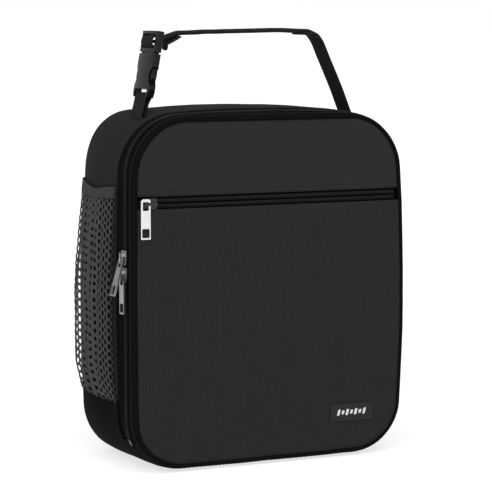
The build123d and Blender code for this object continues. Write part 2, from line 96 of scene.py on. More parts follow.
# ------------------------------------------------------------------ the sewn shell's form
def outline_runs():
    """The outline's runs, from the middle of the bottom: start point, heading, curvature and length."""
    runs = []
    point, heading = np.array([0.0, 0.0]), 0.0
    corners = [BOTTOM_RADIUS, TOP_RADIUS, TOP_RADIUS, BOTTOM_RADIUS]
    upright = HEIGHT - TOP_RADIUS - BOTTOM_RADIUS
    straights = [HALF - BOTTOM_RADIUS, upright, 2 * (HALF - TOP_RADIUS), upright, HALF - BOTTOM_RADIUS]
    for index, straight in enumerate(straights):
        runs.append((point.copy(), heading, 0.0, straight))
        point = point + straight * np.array([math.cos(heading), math.sin(heading)])
        if index < len(corners):
            radius = corners[index]
            runs.append((point.copy(), heading, 1 / radius, radius * math.pi / 2))
            turned = heading + math.pi / 2
            point = point + radius * np.array(
                [math.sin(turned) - math.sin(heading), math.cos(heading) - math.cos(turned)]
            )
            heading = turned
    return runs


RUNS = outline_runs()
PERIMETER = sum(run[3] for run in RUNS)


def rim(s):
    """Points and outward normals (x, z) of the outline at arc lengths s."""
    s = np.asarray(s, float)
    whole = np.mod(s, PERIMETER)
    point, normal = np.zeros((len(s), 2)), np.zeros((len(s), 2))
    passed = 0.0
    for start, heading, curve, length in RUNS:
        here = (whole >= passed - 1e-9) & (whole <= passed + length + 1e-9)
        t = whole[here] - passed
        if curve:
            now = heading + curve * t
            point[here, 0] = start[0] + (np.sin(now) - math.sin(heading)) / curve
            point[here, 1] = start[1] + (math.cos(heading) - np.cos(now)) / curve
        else:
            now = np.full(len(t), heading)
            point[here, 0] = start[0] + t * math.cos(heading)
            point[here, 1] = start[1] + t * math.sin(heading)
        normal[here, 0] = np.sin(now)
        normal[here, 1] = -np.cos(now)
        passed += length
    return point, normal


def rim_length_at(z, right=True):
    """Arc length at which the outline passes height z on the right or left side."""
    if z <= BOTTOM_RADIUS:
        along = HALF - BOTTOM_RADIUS + BOTTOM_RADIUS * math.acos(1 - z / BOTTOM_RADIUS)
    else:
        along = HALF - BOTTOM_RADIUS + BOTTOM_RADIUS * math.pi / 2 + z - BOTTOM_RADIUS
    return along if right else PERIMETER - along


def ripple(x, y, z, scale, seed=0.0):
    """Smooth noise in -1..1 at each point."""
    flat = np.broadcast_arrays(x, y, z)
    points = np.stack([a.ravel() for a in flat], axis=1) / scale + seed
    values = [noise.noise(Vector(p)) for p in points]
    return np.array(values).reshape(flat[0].shape)


def bell(value, centre, spread):
    """A bell curve: 1 at the centre, fading over the spread."""
    return np.exp(-(((value - centre) / spread) ** 2))


LID_BOW, BOW_MIDDLE, BOW_REACH = 2.4, 118, 95


def forward_bow(z, y):
    """How far the stuffed lid bulges forward at height z. It fades out at the main zipper."""
    share = np.clip((ZIP_Y - y) / (ZIP_Y - FRONT), 0, 1)
    return LID_BOW * share * np.clip(1 - ((z - BOW_MIDDLE) / BOW_REACH) ** 2, 0, 1)


SIDE_BULGE = 2.5
BACK_PINCH, HIGH_PINCH = 3.8, 2.4  # how far the sides draw in at the back, and further in near the top
TOP_CROWN, TOP_FRONT_DROP, TOP_BACK_DROP = 6.1, 5.6, 2.1
FRONT_LIFT = 2.7  # the lid's lower edge stands off the ground
HANDLE_DENTS = {-82: 1.6, 88: 1.0}  # x of each handle foot, and how far its seam draws the top down


def form(x, z, nx, nz, y):
    """How far the stuffed shell stands off the plain outline at depth y."""
    side = SIDE_BULGE * (1 - 0.9 * bell(y, ZIP_Y, 8)) * np.clip(1 - ((z - 125) / 105) ** 2, -0.3, 1)
    pinch = BACK_PINCH + HIGH_PINCH * np.clip((z - 145) / 60, 0, 1)
    side = side - pinch * np.clip((y - 8) / 42, 0, 1.2) ** 2
    top = TOP_CROWN - TOP_FRONT_DROP * np.clip((-5 - y) / 47, 0, 1.1) ** 1.7
    top = top - TOP_BACK_DROP * np.clip((y - 25) / 25, 0, 1.2) ** 2
    top = top * (1 - 0.3 * np.clip((x / 52) ** 2, 0, 2.2))
    for foot_x, dent in HANDLE_DENTS.items():
        top = top - dent * bell(x, foot_x, 9) * bell(y, -2, 13)
    under = -FRONT_LIFT * np.clip((-36 - y) / 16, 0, 1) ** 1.3
    soft = 0.35 * ripple(x, y, z, 34) + 0.16 * ripple(x, y, z, 13, 7.0)
    return side * nx**2 + soft * (1 - bell(y, ZIP_Y, 6)) + np.where(nz > 0, top, under) * nz**2


def shell(s, y, out):
    """Points of the sewn shell: arc length s round the outline, depth y, and out from the surface."""
    s, y, out = np.broadcast_arrays(s, y, out)
    point, normal = rim(s.ravel())
    y_flat = y.ravel()
    off = form(point[:, 0], point[:, 1], normal[:, 0], normal[:, 1], y_flat) + out.ravel()
    x = point[:, 0] + normal[:, 0] * off
    z = point[:, 1] + normal[:, 1] * off
    return np.stack([x, y_flat - forward_bow(point[:, 1], y_flat), z], axis=1).reshape(s.shape + (3,))


def near_corner(x, z):
    """The nearest corner's radius, and how far a point lies past its centre in x and z."""
    high = z > HEIGHT / 2
    radius = np.where(high, TOP_RADIUS, BOTTOM_RADIUS)
    return radius, np.abs(x) - (HALF - radius), np.where(high, z - (HEIGHT - radius), radius - z)


def inside(x, z):
    """Distance inside the outline of a point on the front or back."""
    radius, past_x, past_z = near_corner(x, z)
    outer = np.hypot(np.clip(past_x, 0, None), np.clip(past_z, 0, None))
    return radius - outer - np.minimum(np.maximum(past_x, past_z), 0)


def half_width(z, inset):
    """Half the outline's width at height z, drawn in by inset."""
    radius, _, past_z = near_corner(0.0, np.asarray(z, float))
    rise = np.clip(past_z, 0, None)
    reach = np.sqrt(np.clip((radius - inset) ** 2 - rise**2, 0, None))
    return HALF - radius + np.where(rise > 0, reach, radius - inset)


def edge_normal(x, z):
    """Outward direction (x, z) of the outline nearest to a point."""
    _, past_x, past_z = near_corner(x, z)
    inner = np.maximum(past_x, past_z) <= 0
    nx = np.where(inner, past_x > past_z, np.clip(past_x, 0, None)) * np.sign(x + 1e-9)
    nz = np.where(inner, past_z >= past_x, np.clip(past_z, 0, None)) * np.sign(z - HEIGHT / 2)
    size = np.hypot(nx, nz) + 1e-9
    return nx / size, nz / size


def stuffed(x, z, y):
    """Moves points of a flat panel at depth y out with the shell's edge; the move fades inwards."""
    nx, nz = edge_normal(x, z)
    fade = np.exp(-np.clip(inside(x, z) - PIPING, 0, None) / 16)
    off = form(x, z, nx, nz, y) * fade
    return x + nx * off, z + nz * off


# ------------------------------------------------------------------ mesh building
def link(name, data):
    """An object of a mesh, camera or light, put into the scene."""
    obj = bpy.data.objects.new(name, data)
    bpy.context.scene.collection.objects.link(obj)
    return obj


def set_smooth(mesh):
    mesh.polygons.foreach_set("use_smooth", [True] * len(mesh.polygons))


def grid_data(points, u, v, wrap_u=False, wrap_v=False, caps=False):
    """Vertices, faces and face-corner cloth coordinates of a grid of points (n, m, 3)."""
    n, m = points.shape[:2]
    u_full = np.append(u, 2 * u[-1] - u[-2]) if wrap_u else u
    v_full = np.append(v, 2 * v[-1] - v[-2]) if wrap_v else v
    faces, corners = [], []
    for i in range(n if wrap_u else n - 1):
        for j in range(m if wrap_v else m - 1):
            i2, j2 = (i + 1) % n, (j + 1) % m
            faces.append((i * m + j, i2 * m + j, i2 * m + j2, i * m + j2))
            corners += [
                (u_full[i], v_full[j]),
                (u_full[i + 1], v_full[j]),
                (u_full[i + 1], v_full[j + 1]),
                (u_full[i], v_full[j + 1]),
            ]
    if caps:
        for end in (0, n - 1):
            faces.append(tuple(end * m + j for j in range(m)))
            corners += [(u_full[end], v_full[j]) for j in range(m)]
    return points.reshape(-1, 3), faces, corners


def piece(name, parts, outward=True):
    """An object made of grids, with its cloth coordinates in millimetres."""
    vertices, faces, corners = [], [], []
    for points, part_faces, part_corners in parts:
        start = len(vertices)
        vertices += [tuple(p) for p in np.asarray(points) * MM]
        faces += [tuple(start + index for index in face) for face in part_faces]
        corners += part_corners
    mesh = bpy.data.meshes.new(name)
    mesh.from_pydata(vertices, [], faces)
    layer = mesh.uv_layers.new(name="cloth")
    layer.data.foreach_set("uv", np.array(corners, np.float32).ravel())
    if outward:
        bm = bmesh.new()
        bm.from_mesh(mesh)
        bmesh.ops.recalc_face_normals(bm, faces=bm.faces)
        bm.to_mesh(mesh)
        bm.free()
    set_smooth(mesh)
    return link(name, mesh)


def lengths_along(points):
    """Running length along a list of points, from 0."""
    steps = np.linalg.norm(np.diff(points, axis=0), axis=1)
    return np.concatenate([[0], np.cumsum(steps)])


def swept_part(profile, span=None, step=2.0):
    """A closed profile of (y, out) points swept round the outline, whole or over a span of it."""
    profile = np.array(profile, float)
    low, high = span if span else (0.0, PERIMETER)
    count = int((high - low) / step)
    s = np.linspace(low, high, count, endpoint=span is not None)
    points = shell(s[:, None], profile[None, :, 0], profile[None, :, 1])
    v = lengths_along(profile)
    return grid_data(points, s, v, wrap_u=span is None, wrap_v=True, caps=span is not None)


def band_profile(line, thick):
    """A closed profile round an open line of (y, out) points, given a thickness below it."""
    line = np.array(line, float)
    direction = np.gradient(line, axis=0)
    direction /= np.linalg.norm(direction, axis=1)[:, None]
    under = line + thick * np.stack([direction[:, 1], -direction[:, 0]], axis=1)
    return np.concatenate([line, under[::-1]])


def circle_profile(y, out, radius, sides=14):
    """A round profile."""
    turn = np.arange(sides) * TAU / sides
    return np.stack([y + radius * np.cos(turn), out + radius * np.sin(turn)], axis=1)


def tube_part(path, radius, sides=8):
    """A tube along a path of points, with closed ends."""
    path = np.asarray(path, float)
    tangent = np.gradient(path, axis=0)
    tangent /= np.linalg.norm(tangent, axis=1)[:, None] + 1e-12
    start = np.array([0.0, 0.0, 1.0]) if abs(tangent[0][2]) < 0.9 else np.array([1.0, 0.0, 0.0])
    rings = []
    side = np.cross(tangent[0], start)
    side /= np.linalg.norm(side)
    turn = np.arange(sides) * TAU / sides
    radii = np.broadcast_to(radius, (len(path),))
    for k, (p, t) in enumerate(zip(path, tangent)):
        side = side - t * side.dot(t)
        side /= np.linalg.norm(side)
        other = np.cross(t, side)
        rings.append(p + radii[k] * (np.cos(turn)[:, None] * side + np.sin(turn)[:, None] * other))
    points = np.array(rings)
    v = np.arange(sides + 0.0) * TAU * np.mean(radii) / sides
    return grid_data(points, lengths_along(path), v, wrap_v=True, caps=True)


def smooth_path(points, step=0.6, spread=3.0):
    """A smooth line near a few points, with its ends on the first and last."""
    points = np.array(points, float)
    along = lengths_along(points)
    at = np.linspace(0, along[-1], int(along[-1] / step) + 1)
    line = np.stack([np.interp(at, along, column) for column in points.T], axis=1)
    reach = int(spread / step)
    weight = np.hanning(2 * reach + 3)[1:-1]
    weight = weight / weight.sum()
    before = 2 * line[0] - line[reach:0:-1]
    after = 2 * line[-1] - line[-2 : -reach - 2 : -1]
    padded = np.concatenate([before, line, after])
    return np.stack([np.convolve(column, weight, "valid") for column in padded.T], axis=1)


STRAP_POINTS = 23  # across a webbing's width
STRAP_EDGE = 0.7  # how much of each edge is rounded off


def folded_section(width, thick, fold, radius=0.85):
    """A webbing's closed section (across, outwards), folded along its middle by fold radians."""
    w = np.linspace(-width / 2, width / 2, STRAP_POINTS)
    heading = fold / 2 - np.clip(w / radius, -fold / 2, fold / 2)
    step = w[1] - w[0]
    middle = (heading[1:] + heading[:-1]) / 2
    a = np.concatenate([[0], np.cumsum(np.cos(middle))]) * step
    b = np.concatenate([[0], np.cumsum(np.sin(middle))]) * step
    a = a - a[STRAP_POINTS // 2] - width / 4 * fold / math.pi
    b = b - b[-1]
    edge = np.clip((width / 2 - np.abs(w)) / STRAP_EDGE, 0, 1)
    half = thick / 2 * np.sqrt(1 - (1 - edge) ** 2 * 0.85)
    line = np.stack([a, b], axis=1)
    side = np.stack([-np.sin(heading), np.cos(heading)], axis=1) * half[:, None]
    return np.concatenate([line + side, (line - side)[::-1]])


def strap_part(path, width, thick, fold=None, wave=0.0, seed=0.0):
    """Webbing along a path of (x, z) points, its width along Y, with a fold angle along its length."""
    path = np.asarray(path, float)
    tangent = np.gradient(path, axis=0)
    tangent /= np.linalg.norm(tangent, axis=1)[:, None]
    folds = np.zeros(len(path)) if fold is None else fold
    along = lengths_along(path)
    rings = []
    for k, (x, z) in enumerate(path):
        section = folded_section(width, thick, folds[k])
        drift = wave * noise.noise(Vector((along[k] / 22 + seed, 0.3, 0.7)))
        out = section[:, 1] + wave * noise.noise(Vector((along[k] / 15 + seed, 5.3, 0.7)))
        nx, nz = tangent[k][1], -tangent[k][0]
        rings.append(np.stack([x + nx * out, section[:, 0] + drift, z + nz * out], axis=1))
    points = np.array(rings)
    v = np.concatenate([np.linspace(0, width, STRAP_POINTS), np.linspace(width, 2 * width, STRAP_POINTS)])
    return grid_data(points, along, v, wrap_v=True, caps=True)


def stitch_parts(line, normals, pitch=3.1, length=2.3, radius=0.26, sink=0.22):
    """A row of sewn stitches along a line of points on a surface: short threads, dipping at both ends."""
    along = lengths_along(line)
    parts = []
    for centre in np.arange(pitch, along[-1] - pitch / 2, pitch):
        at = centre + np.linspace(-0.5, 0.5, 5) * length
        points = np.stack([np.interp(at, along, line[:, k]) for k in range(3)], axis=1)
        normal = np.array([np.interp(centre, along, normals[:, k]) for k in range(3)])
        normal /= np.linalg.norm(normal)
        dip = np.array([-sink, 0.6 * radius, 0.8 * radius, 0.6 * radius, -sink])
        points = points + dip[:, None] * normal
        parts.append(tube_part(points, np.array([0.6, 1, 1, 1, 0.6]) * radius, sides=5))
    return parts


def shell_line(y, out, span, step=1.0):
    """A line round the shell and its outward normals, for a row of stitches."""
    s = np.arange(span[0], span[1], step)
    line = shell(s, np.full(len(s), y), np.full(len(s), out))
    _, normal = rim(s)
    normals = np.stack([normal[:, 0], np.zeros(len(s)), normal[:, 1]], axis=1)
    return line, normals


def coil_part(centre, forward, outward, turn_pitch, radii, wire):
    """A zipper's coil: a helix of the given two radii along a line of centre points."""
    along = lengths_along(centre)
    turns = along[-1] / turn_pitch
    count = int(turns * 10)
    at = np.linspace(0, along[-1], count)
    angle = at / turn_pitch * TAU

    def sampled(values):
        return np.stack([np.interp(at, along, values[:, k]) for k in range(3)], axis=1)

    path = sampled(centre)
    path = path + radii[0] * np.cos(angle)[:, None] * sampled(forward)
    path = path + radii[1] * np.sin(angle)[:, None] * sampled(outward)
    return tube_part(path, wire, sides=5)


# ------------------------------------------------------------------ materials
def new_material(name):
    material = bpy.data.materials.new(name)
    material.use_nodes = True
    nodes, links = material.node_tree.nodes, material.node_tree.links
    return material, nodes, links, nodes["Principled BSDF"]


def math_node(nodes, links, operation, *values):
    """A math node of numbers or other nodes' outputs."""
    node = nodes.new("ShaderNodeMath")
    node.operation = operation
    for socket, value in zip(node.inputs, values):
        if isinstance(value, (int, float)):
            socket.default_value = value
        else:
            links.new(value, socket)
    return node.outputs[0]


def noise_node(nodes, links, vector, scale, detail=2.0):
    node = nodes.new("ShaderNodeTexNoise")
    node.inputs["Scale"].default_value = scale
    node.inputs["Detail"].default_value = detail
    links.new(vector, node.inputs["Vector"])
    return node.outputs[0]


def set_looks(nodes, links, shader, colour, shade, roughness, relief, bump):
    """Joins a material's colour times shade, its roughness and its relief, bump deep, to its shader."""
    tint = nodes.new("ShaderNodeVectorMath")
    tint.operation = "SCALE"
    tint.inputs[0].default_value = colour
    links.new(shade, tint.inputs["Scale"])
    links.new(tint.outputs[0], shader.inputs["Base Color"])
    links.new(roughness, shader.inputs["Roughness"])
    bumper = nodes.new("ShaderNodeBump")
    bumper.inputs["Strength"].default_value = 1.0
    bumper.inputs["Distance"].default_value = bump * MM
    links.new(relief, bumper.inputs["Height"])
    links.new(bumper.outputs[0], shader.inputs["Normal"])


def weave_height(nodes, links, uv, pitches, rib, contrast):
    """Height 0..1 of a plain weave, from cloth coordinates in millimetres. The weft lies contrast lower."""
    wander = noise_node(nodes, links, uv, 0.08)
    split = nodes.new("ShaderNodeSeparateXYZ")
    links.new(uv, split.inputs[0])
    drift = math_node(nodes, links, "MULTIPLY", wander, 1.6)
    waves = []
    for axis, pitch in enumerate(pitches):
        moved = math_node(nodes, links, "ADD", split.outputs[axis], drift)
        scaled = math_node(nodes, links, "MULTIPLY", moved, math.pi / pitch)
        waves.append(math_node(nodes, links, "SINE", scaled))
    over = math_node(nodes, links, "MULTIPLY", *waves)
    choose = nodes.new("ShaderNodeMapRange")
    choose.inputs["From Min"].default_value = -0.3 - rib
    choose.inputs["From Max"].default_value = 0.3 - rib
    links.new(over, choose.inputs["Value"])
    warp, weft = [math_node(nodes, links, "ABSOLUTE", wave) for wave in waves]
    mix = nodes.new("ShaderNodeMix")
    links.new(choose.outputs[0], mix.inputs["Factor"])
    links.new(weft, mix.inputs["A"])
    links.new(warp, mix.inputs["B"])
    lit = math_node(nodes, links, "MULTIPLY_ADD", choose.outputs[0], contrast, 1 - contrast)
    return math_node(nodes, links, "MULTIPLY", mix.outputs["Result"], lit)


def cloth(
    name, colour, pitch=0.72, tall=None, rib=0.0, gap_shade=0.5, bump=0.09,
    rough=0.86, mottle=0.2, gloss=0.08, contrast=0.4,
):
    """A woven cloth: yarns over and under, with painted shade between them and on the lower weft, and slight
    unevenness of dye and nap.
    """
    material, nodes, links, shader = new_material(name)
    uv_map = nodes.new("ShaderNodeUVMap")
    uv_map.uv_map = "cloth"
    uv = uv_map.outputs[0]
    height = weave_height(nodes, links, uv, (pitch, tall or pitch), rib, contrast)
    blotch = noise_node(nodes, links, uv, 0.045, 5.0)
    slub = noise_node(nodes, links, uv, 1.1, 3.0)
    # Painted shade: the colour darkens where the weave lies low, between the yarns and where the weft dips
    # under.
    shade = math_node(nodes, links, "MULTIPLY_ADD", height, 1 - gap_shade, gap_shade)
    uneven = math_node(nodes, links, "ADD", blotch, slub)
    uneven = math_node(nodes, links, "MULTIPLY_ADD", uneven, mottle, 1 - mottle)
    shade = math_node(nodes, links, "MULTIPLY", shade, uneven)
    roughness = math_node(nodes, links, "MULTIPLY_ADD", slub, 0.16, rough - 0.08)
    relief = math_node(nodes, links, "MULTIPLY_ADD", slub, 0.35, height)
    set_looks(nodes, links, shader, colour, shade, roughness, relief, bump)
    shader.inputs["Specular IOR Level"].default_value = gloss
    return material


def surfaced(name, colour, rough, metal=0.0, grain=2.0, bump=0.02, mottle=0.15, specular=0.5):
    """A moulded or cast surface: fine grain, uneven polish, from the piece's place in the frame."""
    material, nodes, links, shader = new_material(name)
    place = nodes.new("ShaderNodeTexCoord").outputs["Object"]
    fine = noise_node(nodes, links, place, 1000 / grain, 4.0)
    broad = noise_node(nodes, links, place, 60 / grain, 6.0)
    shade = math_node(nodes, links, "MULTIPLY_ADD", broad, 2 * mottle, 1 - mottle)
    polish = math_node(nodes, links, "MULTIPLY_ADD", broad, 0.16, max(0.02, rough - 0.08))
    set_looks(nodes, links, shader, colour, shade, polish, fine, bump)
    shader.inputs["Metallic"].default_value = metal
    shader.inputs["Specular IOR Level"].default_value = specular
    return material


def near_black(level, blue=0.0002):
    """A dark grey with a trace of blue."""
    return (level, level, level + blue)


CLOTHS = {
    "upper_canvas": dict(colour=near_black(0.028, 0.0005), pitch=0.8, tall=0.7, gap_shade=0.3, contrast=0.65),
    "pocket_canvas": dict(
        colour=near_black(0.043, 0.0005), pitch=0.95, tall=0.85, gap_shade=0.04, bump=0.2, contrast=0.9
    ),
    "gusset_canvas": dict(colour=near_black(0.0185, 0.0005), pitch=0.8, gap_shade=0.3, contrast=0.65),
    # Painted shade: the base cloth is a slightly darker cloth, coloured far darker still to stand for the
    # shade on the lower sides and the bottom.
    "base_cloth": dict(colour=near_black(0.0036), gap_shade=0.6, bump=0.06, gloss=0.03),
    "piping_cloth": dict(colour=near_black(0.0042), pitch=0.6, gap_shade=0.6, gloss=0.03),
    "zip_tape": dict(colour=near_black(0.0036), pitch=0.9, tall=0.6, rib=0.2, gap_shade=0.6, gloss=0.03),
    "webbing": dict(
        colour=near_black(0.024, 0.001), pitch=1.5, tall=1.3, rib=0.05, gap_shade=0.15, bump=0.3, contrast=0.7
    ),
    "mesh_elastic": dict(colour=near_black(0.042, 0.002), pitch=0.8, tall=1.6, rib=0.2, gap_shade=0.6, bump=0.1),
    "lining_cloth": dict(colour=near_black(0.02, 0.001), pitch=0.55, gap_shade=0.6),
}
SURFACES = {
    "thread": dict(colour=near_black(0.012, 0.0005), rough=0.7, grain=0.4, bump=0.05, specular=0.2),
    "mesh_net": dict(
        colour=near_black(0.042, 0.001), rough=0.75, grain=0.5, bump=0.06, mottle=0.2, specular=0.1
    ),
    "zip_coil": dict(colour=near_black(0.009, 0.0005), rough=0.45, grain=0.8, specular=0.2),
    "slider_metal": dict(colour=near_black(0.3, 0.01), rough=0.3, metal=1.0, grain=0.7, bump=0.015),
    "slider_enamel": dict(colour=near_black(0.012, 0.0005), rough=0.25, grain=0.7, bump=0.015, specular=0.4),
    # Painted reflection: the main zipper pulls' metal is coloured far darker than the pocket pull's, standing
    # for the dark surroundings that their faces reflect.
    "zip_pull_metal": dict(colour=near_black(0.3, 0.01), rough=0.34, metal=1.0, grain=0.9, bump=0.008),
    "pull_metal": dict(colour=near_black(0.78, 0.01), rough=0.2, metal=1.0, grain=0.9, bump=0.008),
    "buckle_plastic": dict(colour=near_black(0.005, 0.0005), rough=0.3, grain=0.9, bump=0.006, specular=0.2),
    "label_rubber": dict(colour=(0.004, 0.0045, 0.006), rough=0.5, grain=0.5, specular=0.3),
    "label_bar": dict(colour=(0.5, 0.5, 0.5), rough=0.5, grain=0.6),
    "foam": dict(colour=(0.5, 0.51, 0.53), rough=0.9, grain=1.4, bump=0.25),
    "foil_liner": dict(colour=(0.7, 0.71, 0.72), rough=0.3, metal=0.9, grain=9.0, bump=0.5, mottle=0.06),
}
MATERIALS = {name: cloth(name, **look) for name, look in CLOTHS.items()}
MATERIALS |= {name: surfaced(name, **look) for name, look in SURFACES.items()}


def finish_piece(obj, body, slot, material=None, nodes=()):
    """Gives a piece the material of its slot, or the material named instead, puts it under its body, and
    hides the CAD nodes that it stands for.
    """
    obj.data.materials.clear()
    obj.data.materials.append(MATERIALS[material or slot])
    if body:
        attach(obj, body)
    if nodes:
        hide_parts(*nodes)
    return obj


def thicken(obj, thick, offset=-1.0):
    solid = obj.modifiers.new("thickness", "SOLIDIFY")
    solid.thickness = thick * MM
    solid.offset = offset
    solid.use_even_offset = False
    return obj


# ------------------------------------------------------------------ sheets over the front outline
def panel_part(inset, depth, z_low, z_high, columns=110, rows=90, profile=None):
    """A sheet over the outline drawn in by inset, between two heights. depth(x, z) gives its y.

    profile replaces its even rows with (height, extra depth) pairs, for a folded hem.
    """
    spread = (1 - np.cos(np.linspace(0, math.pi, rows))) / 2
    profile = profile or [(z, 0.0) for z in z_low + (z_high - z_low) * spread]
    u = np.sin(np.linspace(-1, 1, columns) * math.pi / 2)
    lines = []
    for z, behind in profile:
        x = u * half_width(z, inset)
        height = np.full(columns, z)
        y = depth(x, height) + behind
        moved_x, moved_z = stuffed(x, height, y)
        lines.append(np.stack([moved_x, y, moved_z], axis=1))
    points = np.array(lines).transpose(1, 0, 2)
    return grid_data(points, u * HALF, lengths_along(points[columns // 2]))


def run_true(obj):
    """Cloth coordinates straight from width and height, so that a panel's yarns run true."""
    mesh = obj.data
    places = np.empty(len(mesh.vertices) * 3)
    mesh.vertices.foreach_get("co", places)
    corners = np.empty(len(mesh.loops), int)
    mesh.loops.foreach_get("vertex_index", corners)
    flat = places.reshape(-1, 3)[corners][:, [0, 2]] / MM
    mesh.uv_layers["cloth"].data.foreach_set("uv", flat.astype(np.float32).ravel())
    return obj


# ------------------------------------------------------------------ lid: front panels
PANEL_INSET = PIPING - 0.7
PANEL_EDGE_Y = LID_SEAM - 1.9
HEM_STITCH = 3.7


def front_y(x, z):
    """Depth of the front cloth: tucked in at the piping, then a soft barrel over its foam."""
    d = np.clip(inside(x, z) - PANEL_INSET, 0, None)
    rise = 1.3 * (1 - np.exp(-d / 3.2)) + 1.2 * (1 - np.exp(-d / 30)) + forward_bow(z, FRONT)
    soft = 0.35 * ripple(x, 0 * x, z, 40, 3.0) + 0.12 * ripple(x, 0 * x, z, 14, 5.0)
    return PANEL_EDGE_Y - rise - soft * np.clip(d / 12, 0, 1)


def hemmed_panel(name, edge_z, far_z, rows):
    """A front panel from its folded, topstitched hem at edge_z to the piping at far_z."""
    up = 1 if far_z > edge_z else -1
    profile = [(edge_z + up * rise, 1.5) for rise in (9.0, 5.0, 2.0)]
    for angle in np.linspace(math.pi, 0, 8):
        profile.append((edge_z + up * 0.75 * (1 - math.sin(angle)), 0.75 * (1 - math.cos(angle))))
    for rise in 1.0 + (abs(far_z - edge_z) - 1.0) * np.sin(np.linspace(0, math.pi / 2, rows)):
        profile.append((edge_z + up * rise, 0.34 * bell(rise, HEM_STITCH, 0.7) - 0.35 * bell(rise, 1.9, 1.3)))
    part = panel_part(PANEL_INSET, front_y, 0, 0, columns=150, profile=profile)
    return thicken(run_true(piece(name, [part], outward=False)), 0.55)


def hem_stitches(name, z):
    """Topstitching along a front panel's hem."""
    x = np.arange(-half_width(z, 5) + 1, half_width(z, 5) - 1, 1.0)
    y = front_y(x, np.full(len(x), z)) + 0.2
    line = np.stack([x, y, np.full(len(x), z)], axis=1)
    normals = np.tile([0.0, -1.0, 0.0], (len(x), 1))
    return piece(name, stitch_parts(line, normals))


upper = hemmed_panel("front_upper", UPPER_EDGE_Z, HEIGHT - PANEL_INSET - 0.05, 60)
finish_piece(upper, "lid", "upper_canvas", nodes=["front_upper_panel"])
pocket = hemmed_panel("front_pocket", POCKET_EDGE_Z, PANEL_INSET + 0.05, 100)
finish_piece(pocket, "lid", "pocket_canvas", nodes=["front_pocket_panel"])
finish_piece(hem_stitches("upper_hem_stitch", UPPER_EDGE_Z + HEM_STITCH), "lid", "upper_canvas", "thread")
finish_piece(hem_stitches("pocket_hem_stitch", POCKET_EDGE_Z - HEM_STITCH), "lid", "pocket_canvas", "thread")


# ------------------------------------------------------------------ pipings, flange, gusset, base, back
def piping(name, y, body, node):
    profile = circle_profile(y, -PIPING / 2 + 0.1, PIPING / 2 - 0.05)
    parts = [swept_part(profile, step=1.5)]
    return finish_piece(piece(name, parts), body, "piping_cloth", nodes=[node])


piping("front_bead", (FRONT + LID_SEAM) / 2, "lid", "front_piping")
piping("back_bead", BACK - PIPING / 2, "bag", "back_piping")

ZIP_SPAN = (rim_length_at(ZIP_END_Z), rim_length_at(ZIP_END_Z, right=False))
UPPER_SPAN = (rim_length_at(BASE_TOP), rim_length_at(BASE_TOP, right=False))
LOWER_SPAN = (UPPER_SPAN[1], UPPER_SPAN[0] + PERIMETER)
NOSE_SPAN = (ZIP_SPAN[1], ZIP_SPAN[0] + PERIMETER)


def lid_flange():
    """The lid's side: a folded flange behind the piping, and its corner pieces below the zipper's ends."""
    line = [
        (LID_SEAM - 1.4, -2.6), (LID_SEAM - 0.6, -1.7), (LID_SEAM + 0.2, -1.25), (LID_SEAM + 1.0, -0.7),
        (LID_SEAM + 1.9, -0.1), (LID_SEAM + 2.6, 0.0), (LID_SEAM + 3.4, 0.35), (LID_SEAM + 4.3, 0.4),
        (FLANGE_BACK - 0.1, 0.1), (FLANGE_BACK + 0.05, -0.35), (FLANGE_BACK - 0.4, -0.75),
        (FLANGE_BACK - 1.6, -0.8),
    ]
    flange = swept_part(band_profile(line, 0.4))
    nose = [
        (FLANGE_BACK - 1.0, -0.5), (FLANGE_BACK, -0.3), (FLANGE_BACK + 3, -0.25), (ZIP_Y - 1.2, -0.3),
        (ZIP_Y - 0.5, -0.6), (ZIP_Y - 0.45, -1.1), (ZIP_Y - 1.5, -1.3),
    ]
    corner = swept_part(band_profile(nose, 0.4), NOSE_SPAN)
    return piece("flange", [flange, corner])


finish_piece(lid_flange(), "lid", "piping_cloth", nodes=["lid_flange"])
stitch_line = shell_line(LID_SEAM + 2.7, 0.05, (0, PERIMETER))
finish_piece(piece("flange_stitch", stitch_parts(*stitch_line)), "lid", "piping_cloth", "thread")


def tape(name, front, back, body, node):
    count = max(4, int((back - front) / 1.2))
    y = np.linspace(front, back, count)
    dip = -0.75 + 0.25 * np.cos((y - front) / (back - front) * TAU)
    part = swept_part(band_profile(np.stack([y, dip], axis=1), 0.45), ZIP_SPAN)
    return finish_piece(piece(name, [part]), body, "zip_tape", nodes=[node])


tape("lid_tape", FLANGE_BACK - 2.5, LID_COIL_BOX[1][1] - 0.1, "lid", "lid_zip_tape")
tape("rear_tape", REAR_COIL_BOX[0][1] + 0.1, GUSSET_FRONT + 2.0, "bag", "rear_zip_tape")


def main_coil(name, y_range, body, node):
    y = (y_range[0] + y_range[1]) / 2
    half = (y_range[1] - y_range[0]) / 2
    centre, outward = shell_line(y, 0.05, (ZIP_SPAN[0] + 1, ZIP_SPAN[1] - 1), step=0.5)
    forward = np.tile([0.0, 1.0, 0.0], (len(centre), 1))
    part = coil_part(centre, forward, outward, 1.5, (half - 0.1, 0.55), 0.3)
    return finish_piece(piece(name, [part]), body, "zip_coil", nodes=[node])


main_coil("lid_coil", (LID_COIL_BOX[0][1], LID_COIL_BOX[1][1]), "lid", "lid_zip_coil")
main_coil("rear_coil", (REAR_COIL_BOX[0][1], REAR_COIL_BOX[1][1]), "bag", "rear_zip_coil")


